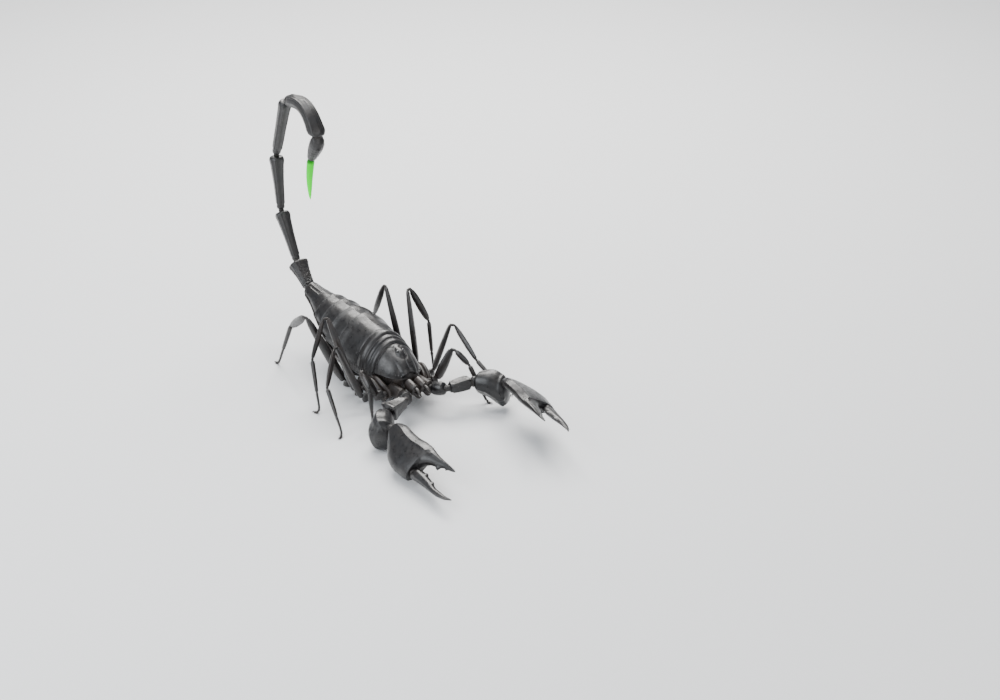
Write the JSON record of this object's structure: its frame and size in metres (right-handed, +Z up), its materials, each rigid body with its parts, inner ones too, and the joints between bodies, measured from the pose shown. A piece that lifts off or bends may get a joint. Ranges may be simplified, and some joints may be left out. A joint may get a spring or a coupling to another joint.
{
  "type": "scorpion",
  "caption": "Life-size black scorpion, a still animal model on its feet: broad raised claws held forward and the tail arched high over the back, with a green sting.",
  "frame": {"origin": "middle of the bounding box on the floor plane that the feet stand on", "axes": "+Z up, the animal faces -Y, its left side is +X"},
  "size_m": [0.0636, 0.149, 0.0886],
  "materials": {
    "shell": "glossy black shell, finely granular, with ridges on claws and tail",
    "soft_shell": "brown-black underside, mouthparts and combs, satin",
    "eye": "wet black eye",
    "sting": "bright green sting with a faint glow of its own"
  },
  "bodies": {
    "root": {"carapace": "shell", "eye_median_left": "eye", "eye_median_right": "eye", "prosoma_underside": "soft_shell", "chelicera_left": "soft_shell", "chelicera_right": "soft_shell", "tergite_1": "shell", "tergite_2": "shell", "tergite_3": "shell", "tergite_4": "shell", "tergite_5": "shell", "tergite_6": "shell", "tergite_7": "shell", "sternites": "soft_shell", "pecten_left": "soft_shell", "pecten_right": "soft_shell", "metasoma_1": "shell", "metasoma_2": "shell", "metasoma_3": "shell", "metasoma_4": "shell", "metasoma_5": "shell", "telson_vesicle": "shell", "telson_sting": "sting", "leg_left_1_femur": "shell", "leg_left_1_patella": "shell", "leg_left_1_tibia": "shell", "leg_left_2_femur": "shell", "leg_left_2_patella": "shell", "leg_left_2_tibia": "shell", "leg_left_3_femur": "shell", "leg_left_3_patella": "shell", "leg_left_3_tibia": "shell", "leg_left_4_femur": "shell", "leg_left_4_patella": "shell", "leg_left_4_tibia": "shell", "leg_right_1_femur": "shell", "leg_right_1_patella": "shell", "leg_right_1_tibia": "shell", "leg_right_2_femur": "shell", "leg_right_2_patella": "shell", "leg_right_2_tibia": "shell", "leg_right_3_femur": "shell", "leg_right_3_patella": "shell", "leg_right_3_tibia": "shell", "leg_right_4_femur": "shell", "leg_right_4_patella": "shell", "leg_right_4_tibia": "shell", "pedipalp_left_trochanter": "shell", "pedipalp_left_femur": "shell", "pedipalp_left_patella": "shell", "pedipalp_left_manus": "shell", "pedipalp_left_finger": "shell", "pedipalp_right_trochanter": "shell", "pedipalp_right_femur": "shell", "pedipalp_right_patella": "shell", "pedipalp_right_manus": "shell", "pedipalp_right_finger": "shell"}
  },
  "joints": []
}
